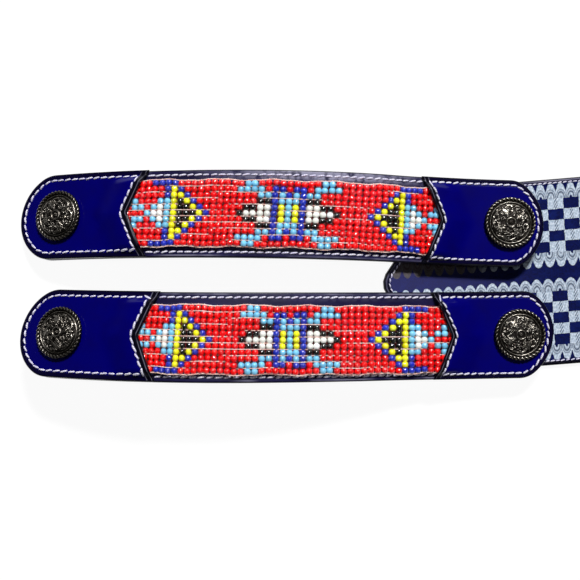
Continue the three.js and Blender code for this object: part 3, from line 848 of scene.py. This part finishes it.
def panel_spot(strap, row, column):
    """Where a row and a column cross: the columns spread a little over the strap, lean, and wander near the
    edges in two slow waves."""
    cast = strap["columns"]
    across = cast["middle"] + cast["drift"] * column + row * ROW_PITCH
    along = cast["centre"] + cast["pitch"] * column + cast["stretch"] * column**2 + cast["lean"] * across
    outer = (row / (BEAD_ROWS / 2)) ** 2
    phase = strap["side"] + np.sign(row)
    slow_wave = np.sin(2 * math.pi * along / WAVE["long"] + phase)
    quick_wave = 0.4 * np.sin(2 * math.pi * along / WAVE["short"])
    return along, across + WAVE["height"] * outer * (slow_wave + quick_wave)


bead_glass = Finish(
    "opaque_glass_beads", Coat_Weight=1.0, Coat_Roughness=0.05, Coat_IOR=1.9, Specular_IOR_Level=0.3
)
tint = bead_glass.held("glass", "Color")
streak = bead_glass.cloud(bead_glass.place(), 900, 2)
bead_glass.wear(
    Base_Color=bead_glass.dye(streak.rise(0.5, 0.8) * 0.1, tint, shade(255, 250, 240)),
    Roughness=0.16 + streak * 0.14,
)
bead_glass.relief(bead_glass.cloud(bead_glass.place(), 420, 2), 0.1)

for name, strap in straps.items():
    row, column = np.meshgrid(np.arange(BEAD_ROWS) - 5, np.arange(BEAD_COLUMNS) - BEAD_COLUMNS // 2)
    row, column = row.ravel(), column.ravel()
    along, across = panel_spot(strap, row, column)
    shown = between_tabs(strap, along, across, PANEL_UNDERLAP)
    row, column, along, across = (values[shown] for values in (row, column, along, across))
    pitch = panel_spot(strap, row, column + 0.5)[0] - panel_spot(strap, row, column - 0.5)[0]
    count = len(row)
    jitter = chance.standard_normal((6, count))[:, :, None]
    # A bead is a short barrel turned about its hole: its radius is the full one times 0.45 + 0.55 cos(t) at
    # the angle t of its end's round
    t = np.radians([-78, -42, 0, 42, 78])[:, None]
    turn = circle(BEAD_SIDES)
    radius = 0.45 + 0.55 * np.cos(t)
    barrel = [np.sin(t) / np.sin(t[-1]) + 0 * turn, radius * np.cos(turn), radius * np.sin(turn)]
    ends = [[-0.55, 0.55], [0, 0], [0, 0]]
    hole, fore, rise = (np.append(part.ravel(), end) for part, end in zip(barrel, ends))
    hole = hole * BEAD_LENGTH / 2 * (1 + 0.015 * jitter[0])
    fore = fore * 0.498 * pitch[:, None] * (1 + 0.01 * jitter[1])
    rise = rise * BEAD_RADIUS * (1 + 0.03 * jitter[2])
    swing = 0.09 * jitter[3]
    points = strap["place"](
        along[:, None] + 0.07 * jitter[4] + fore - hole * swing,
        across[:, None] + hole + fore * swing,
        BEAD_MIDDLE + 0.1 * jitter[5] + rise,
    )
    letters = [bead_letter(int(r), int(c)) for r, c in zip(row, column)]
    colours = np.array([glass[letter] for letter in letters])
    colours[:, :3] *= np.clip(1 + 0.09 * chance.standard_normal((count, 1)), 0.75, 1.25)
    size = points.shape[1]
    beads = {
        "points": points.reshape(-1, 3),
        "faces": repeated([block[:, ::-1] for block in tube_faces(len(t), BEAD_SIDES)], count, size),
        "glass": np.repeat(np.clip(colours, 0, 1), size, axis=0),
    }
    add_piece(name + "_seed_beads", beads, bead_glass, [name + "_beadwork"])


# Warps: off-white nylon cords that run the length of each panel between the rows of beads, a heavier pair
# along its edges. The weft turns round the edge warps in a small loop at each column.
WARP_RADIUS = 0.19
EDGE_WARP_RADIUS = 0.25
WARP_RISE = -0.1  # over the middle of the beads
LOOP_RADIUS = 0.13
nylon = Finish("off_white_nylon", Specular_IOR_Level=0.45, Sheen_Weight=0.2)
strand, round_strand, height = nylon.parts(nylon.held("twist", "Vector"))
ply = ((strand / 0.7 + round_strand) * (2 * math.pi)).sine()
age = nylon.cloud(nylon.place(), 260, 2)
clean_cord = nylon.dye(age.rise(0.35, 0.7), shade(252, 222, 212), shade(232, 176, 164))
# Painted shade: the cord is dyed dark red where it lies deep between the beads, for the shade and the beads'
# red reflected light there
nylon.wear(
    Base_Color=nylon.dye((height - BEAD_MIDDLE).rise(-0.25, 0.1), shade(96, 14, 12), clean_cord),
    Roughness=0.42 + age * 0.2,
)
nylon.relief(ply, 0.05)


def cords(paths, radius, sides, place):
    """Round cords along paths of (along, across, up): at each point a ring about the path's own heading in
    plan, level across and upright."""
    paths = np.asarray(paths, float)
    count, length, _ = paths.shape
    ahead = unit(np.gradient(paths, axis=1))
    level = np.stack([-ahead[..., 1], ahead[..., 0], 0 * ahead[..., 0]], -1)
    flat = np.linalg.norm(level, axis=-1, keepdims=True)
    level = np.where(flat > 0.3, level / np.maximum(flat, 1e-9), [1.0, 0, 0])
    upright = np.cross(ahead, level)
    turn = circle(sides)
    ring = level[:, :, None] * np.cos(turn)[:, None] + upright[:, :, None] * np.sin(turn)[:, None]
    rings = (paths[:, :, None] + radius * ring).reshape(count, -1, 3)
    points = np.concatenate([rings, paths[:, [0, -1]]], 1)
    run = np.cumsum(np.linalg.norm(np.diff(paths, axis=1, prepend=paths[:, :1]), axis=-1), 1)
    twist = np.stack(np.broadcast_arrays(run[:, :, None], turn / (2 * math.pi), paths[:, :, 2:]), -1)
    twist = np.concatenate([twist.reshape(count, -1, 3), np.zeros((count, 2, 3))], 1)
    return {
        "points": place(*np.moveaxis(points, -1, 0)).reshape(-1, 3),
        "faces": repeated(tube_faces(length, sides), count, length * sides + 2),
        "twist": twist.reshape(-1, 3),
    }


for name, strap in straps.items():
    threads = []
    for line in np.arange(BEAD_ROWS + 1) - BEAD_ROWS / 2:
        edge = abs(line) == BEAD_ROWS / 2
        column = np.linspace(-26, 26, 53 * 4)
        along, across = panel_spot(strap, line, column)
        across = across + (0.12 * np.sign(line) if edge else 0)
        slow = np.sin(along / 9 + line * 2.1 + 2 * np.sin(along / 23 + line))
        lift = 0.08 * np.sin(math.pi * (column * 2 + line)) + (0.1 if edge else 0.85) * slow
        up = BEAD_MIDDLE + (0.1 if edge else WARP_RISE) + lift
        path = np.stack([along, across, up], -1)[between_tabs(strap, along, across, PANEL_UNDERLAP)]
        threads.append(cords([path], EDGE_WARP_RADIUS if edge else WARP_RADIUS, 7, strap["place"]))
    for side in (-1, 1):
        column = np.arange(BEAD_COLUMNS) - BEAD_COLUMNS // 2
        along, across = panel_spot(strap, side * BEAD_ROWS / 2, column)
        shown = between_tabs(strap, along, across)
        sweep = np.radians(np.linspace(100, -100, 9))
        reach = EDGE_WARP_RADIUS + 0.12
        out = (reach + 0.35) * np.cos(sweep) ** 2 * (abs(sweep) < math.pi / 2)
        loop_across = across[shown, None] + side * (out - 0.23)
        loop_up = BEAD_MIDDLE + 0.1 + (reach + 0.1) * np.sin(sweep)
        path = np.stack(np.broadcast_arrays(along[shown, None], loop_across, loop_up), -1)
        threads.append(cords(path, LOOP_RADIUS, 5, strap["place"]))
    add_piece(name + "_warps", joined(threads), nylon)


# Caps: cast antique silver conchos, one on each tab. Each has a rope rim, a groove, and a dome with scrolls
# raised round a small ring, blackened in the recesses and rubbed bright on top. A post behind holds it.
CAP_RADIUS = 11.25
CAP_BASE = TAB_FLOOR + TAB_HIDE + 0.3
CAP_RIM = 2.3
CAP_DOME = 3.6
POST_END = 5.9
POST_RADIUS = 1.6
ROPE_TWISTS = 38
ROPE_SLANT = 0.9  # of a twist, from the rim's inside to its outside
SCROLL_AXES = 4
SCROLL_RELIEF = 0.55

silver = Finish("antique_silver", Metallic=1.0, Specular_IOR_Level=0.5)
raised = Amount(silver, silver.held("relief", "Fac"))
spot = silver.place()
tarnish = silver.cloud(spot, 700, 3)
rubbed = (raised + (tarnish - 0.5) * 0.7).rise(0.3, 0.95)
metal = silver.dye(tarnish.rise(0.35, 0.7), shade(160, 155, 147), shade(106, 100, 91))
silver.wear(
    Base_Color=silver.dye(rubbed, shade(38, 35, 33), metal),
    Roughness=0.44 - rubbed * 0.18 + tarnish * 0.06,
)
silver.relief(tarnish, 0.07)


def polar(radius, angle):
    return np.stack([radius * np.cos(angle), radius * np.sin(angle)], -1)


def ridge(x, y, path, width):
    """How near points lie to a path, as the height of a rounded ridge: sqrt(1 - (d / w)^2) at distance d,
    where w is the path's half width at its nearest point."""
    d = np.hypot(x[:, None] - path[:, 0], y[:, None] - path[:, 1]) / width
    return np.sqrt(np.clip(1 - d.min(1) ** 2, 0, 1))


def scrollwork(x, y):
    """Relief of the dome, 0 in the ground and 1 on top: on each axis a pair of spiral scrolls that curl
    away from each other, a ribbed leaf between them and a smaller curl beyond, round a middle ring with a
    boss."""
    t = np.linspace(0, 1, 60)
    swell = np.sin(math.pi * t)
    ridges = []
    axes = np.arange(SCROLL_AXES) + 0.06 * chance.standard_normal(SCROLL_AXES)
    for axis in 2 * math.pi * axes / SCROLL_AXES:
        for side in (-1, 1):
            middle = axis + side * math.radians(25)
            curl = middle + side * (math.radians(-150) + math.radians(430) * t)
            spiral = polar(5.85, middle) + polar(2.0 * (1 - t) ** 0.7 + 0.2, curl)
            stem = polar(8.15 - 0.8 * swell * (1 - t), axis + side * (math.radians(43) - 0.5 * t))
            lobe = polar(2.9 + 3.6 * t, axis + side * (0.1 + 0.18 * t**1.5))
            ridges.append((1, spiral, 0.48 - 0.2 * t))
            ridges.append((0.8, stem, 0.2 + 0.24 * swell**0.7))
            ridges.append((0.75, lobe, 0.14 + 0.3 * swell**0.8))
        aside = axis + math.pi / SCROLL_AXES
        curl = aside + math.radians(200) + math.radians(380) * t
        bud = polar(3.9, aside) + polar(0.85 * (1 - t) ** 0.7 + 0.15, curl)
        vein_half = 0.1 + 0.36 * np.sin(math.pi * t**1.4) ** 0.8
        ridges.append((0.95, polar(2.6 + 5.3 * t, axis), vein_half))
        ridges.append((0.9, polar(np.array([7.7]), aside), 0.6))
        ridges.append((0.85, bud, 0.34 - 0.12 * t))
    radius = np.hypot(x, y)
    ring = np.sqrt(np.clip(1 - ((radius - 1.95) / 0.4) ** 2, 0, 1))
    boss = np.sqrt(np.clip(1 - (radius / 0.95) ** 2, 0, 1)) * (0.75 + 0.25 * np.cos(5 * np.arctan2(y, x)))
    return np.maximum.reduce([high * ridge(x, y, path, half) for high, path, half in ridges] + [ring, boss])


def turned(radius, height, ends=()):
    """A round form about the Z axis, from rows of radii and heights. It is closed on the axis at the heights
    of its two ends, or else, as a ring, from its last row to its first."""
    rows, sides = radius.shape
    points = np.dstack([polar(radius, circle(sides)), height]).reshape(-1, 3)
    if ends:
        poles = [(0, 0, end) for end in ends]
        return {"points": np.concatenate([points, poles]), "faces": tube_faces(rows, sides)}
    return {"points": points, "faces": [grid_faces(rows + 1, sides, closed=True)[:, ::-1] % len(points)]}


def cap_form():
    """The whole cap: rings of points from the post's end, out under the dish, over the rope rim and in to
    the top of the dome. The rope's twists are cosine waves round the rim that lean with the radius."""
    angle = circle(6 * ROPE_TWISTS)
    rows = [(POST_RADIUS, POST_END - CAP_BASE, 0), (POST_RADIUS, 0.02, 0), (CAP_RADIUS * 0.35, 0, 0),
            (CAP_RADIUS * 0.92, CAP_RIM * 0.22, 0)]
    # Rope rim: a half round from the outside to the groove
    for bow in np.radians(np.linspace(-35, 180, 11)):
        twist = np.cos(ROPE_TWISTS * angle + math.pi * ROPE_SLANT * (1 - math.cos(bow)))
        proud = 1 + 0.16 * twist
        radius = CAP_RADIUS * (0.925 + 0.068 * math.cos(bow) * proud)
        polish = np.clip(0.42 + 0.6 * twist, 0, 1) * max(0.25, math.sin(max(bow, 0.3)))
        rows.append((radius, CAP_RIM * 0.62 + 0.85 * math.sin(bow) * proud, polish))
    # Groove, fine ring and dome
    for share in (0.835, 0.815, 0.80, 0.785, 0.77, 0.755):
        lift = math.sqrt(max(0, 1 - ((share - 0.79) / 0.028) ** 2))
        rows.append((CAP_RADIUS * share, CAP_RIM * 0.66 + 0.6 * lift, 0.15 + 0.7 * lift))
    for share in np.linspace(0.745, 0.01, 40):
        work = scrollwork(*polar(CAP_RADIUS * share, angle).T)
        dome = CAP_DOME - 0.4 - 1.3 * (share / 0.745) ** 2
        rows.append((CAP_RADIUS * share, dome + SCROLL_RELIEF * work, work))
    radius, height, relief = np.stack([[part + 0 * angle for part in row] for row in rows], 1)
    cap = turned(radius, height, (POST_END - CAP_BASE, height[-1].mean()))
    return {**cap, "relief": np.append(relief, [0, 1])}


def stand(form, place, along, across, up, turn=0.0):
    """A form made round the Z axis, moved to a place, upright on its surface and turned about its own
    axis."""
    foot = place(along, across, up)
    normal = unit(place(along, across, up + 1) - foot)
    aside = unit(np.cross(normal, place(along + 1, across, up) - foot))
    ahead = np.cross(aside, normal)
    x, y, z = form["points"].T
    x, y = x * math.cos(turn) - y * math.sin(turn), x * math.sin(turn) + y * math.cos(turn)
    return {**form, "points": foot + np.stack([x, y, z], -1) @ np.stack([ahead, aside, normal])}


cap = cap_form()
cap_turns = {"upper": {"free": 0.4, "fixed": 2.1}, "lower": {"free": 3.3, "fixed": 5.2}}
for name, strap in straps.items():
    for end, along in SNAP_AT.items():
        stood = stand(cap, strap["place"], along, 0, CAP_BASE, cap_turns[name][end])
        add_piece(f"{name}_cap_{end}", stood, silver, [f"{name}_concho_{end}"])


# Snap sockets: pressed nickel-plated steel, a ring under each strap end with a hollow that springs over a
# stud. Studs: the same metal, set through the band with a head on its back, a flange on the cloth and a nib.
SNAP_SIDES = 48
# Radius and height: a socket from its mouth down and round, a stud from its head to its nib
SOCKET_PROFILE = [
    (1.9, 6.35), (2.4, 6.2), (2.5, 5.7), (2.35, 5.1), (2.6, 4.8), (3.1, 4.82), (3.4, 5.15), (4.2, 5.25),
    (5, 5.05), (5.35, 5.5), (5.5, 6.2), (5.4, 6.7), (1.9, 6.7),
]
STUD_PROFILE = [
    (2.7, -0.25), (3, -0.14), (3.05, 0.05), (2.9, 0.2), (1.6, 0.4), (1.6, 4), (5.4, 4), (5.5, 4.15),
    (5.2, 4.42), (2.8, 4.5), (2, 4.6), (1.95, 4.85), (2.2, 5.15), (2.05, 5.4), (1.6, 5.55), (1.1, 5.6),
    (0.8, 5.48),
]
STUD_ENDS = (-0.27, 5.45)

steel = Finish("nickel_plated_steel", Metallic=1.0, Specular_IOR_Level=0.5)
spot = steel.place()
scuff = steel.cloud(spot, 900, 3)
steel.wear(
    Base_Color=steel.dye(scuff.rise(0.5, 0.75), shade(196, 196, 198), shade(132, 128, 124)),
    Roughness=0.2 + scuff * 0.25,
)
steel.relief(scuff, 0.04)


socket, stud = (
    turned(*(np.array(profile).T[:, :, None] + np.zeros(SNAP_SIDES)), ends)
    for profile, ends in ((SOCKET_PROFILE, ()), (STUD_PROFILE, STUD_ENDS))
)
for name, strap in straps.items():
    for end, along in SNAP_AT.items():
        stood = stand(socket, strap["place"], along, 0, 0)
        add_piece(f"{name}_snap_socket_{end}", stood, steel, [f"{name}_socket_{end}"])
    for reach, along in (("near", STUD_FROM_TIP), ("far", BAND_LENGTH - STUD_FROM_TIP)):
        stood = stand(stud, on_band, along, strap["stud"], 0)
        add_piece(f"{name}_snap_stud_{reach}", stood, steel, [f"{name}_stud_{reach}"])


# Table, lights and camera: a plain white table in a white room that is dark overhead, a soft key light from
# beyond the belt, a small lamp overhead and a weak one from the front. The camera looks down at the straps.
CAMERA_FROM_TIP = (-30.9, -13.1, 446.8)  # from the middle of the band's near tip, at table height
CAMERA_TURN = (1.76, 1.45, -4.63)
CAMERA_FOCUS = 989.4  # focal length in pixels of a frame that is 580 wide
FRAME_WIDTH = 580
SENSOR = 36.0
TABLE_HALF = 12.0  # metres
TABLE_DROP = 0.0004  # below the band, for the stitches on its back

table_corners = TABLE_HALF * np.array([(-1, -1, 0), (1, -1, 0), (1, 1, 0), (-1, 1, 0)]) - [0, 0, TABLE_DROP]
table_mesh = bpy.data.meshes.new("table")
table_mesh.from_pydata(table_corners.tolist(), [], [(0, 1, 2, 3)])
add_object("table", table_mesh)
paint = Finish("white_table", Roughness=0.9, Specular_IOR_Level=0.1, Emission_Strength=0.94)
paint.wear(Base_Color=(0.1, 0.1, 0.1, 1), Emission_Color=(1, 1, 1, 1))
table_mesh.materials.append(paint.material)

world = bpy.data.worlds.new("studio")
bpy.context.scene.world = world
world.use_nodes = True
sky = world.node_tree
facing_up = sky.nodes.new("ShaderNodeSeparateXYZ")
fall = sky.nodes.new("ShaderNodeMapRange")
fall.interpolation_type = "SMOOTHSTEP"
for socket, value in (("From Min", 0.0), ("From Max", 0.12), ("To Min", 0.55), ("To Max", 0.012)):
    fall.inputs[socket].default_value = value
sky.links.new(sky.nodes.new("ShaderNodeTexCoord").outputs["Generated"], facing_up.inputs[0])
sky.links.new(facing_up.outputs["Z"], fall.inputs["Value"])
sky.links.new(fall.outputs["Result"], sky.nodes["Background"].inputs["Strength"])
sky.nodes["Background"].inputs["Color"].default_value = (1, 1, 1, 1)


def soft_light(name, place, target, size, power):
    """A soft light with these sides at a place, in metres, that faces a target."""
    lamp = bpy.data.lights.new(name, "AREA")
    lamp.shape = "RECTANGLE"
    lamp.size, lamp.size_y = size
    lamp.energy = power
    light = add_object(name, lamp)
    ahead = unit(np.subtract(target, place))
    light.location = place
    light.rotation_euler = (math.acos(-ahead[2]), 0, math.atan2(ahead[1], ahead[0]) - math.pi / 2)


soft_light("key", (0.08, 1.0, 1.35), (-0.15, 0, 0), (0.36, 0.2), 37)
soft_light("overhead", (-0.24, 0.12, 1.5), (-0.2, 0, 0), (0.07, 0.07), 1.2)
soft_light("front", (0.1, -1.3, 0.9), (-0.1, 0, 0), (0.8, 0.4), 0.8)

camera_data = bpy.data.cameras.new("camera")
camera_data.sensor_width = SENSOR
camera_data.lens = SENSOR * CAMERA_FOCUS / FRAME_WIDTH
camera = add_object("camera", camera_data)
camera.location = (band_tip + CAMERA_FROM_TIP) / 1000
camera.rotation_euler = [math.radians(value) for value in CAMERA_TURN]
bpy.context.scene.camera = camera
bpy.context.scene.view_settings.view_transform = "Standard"
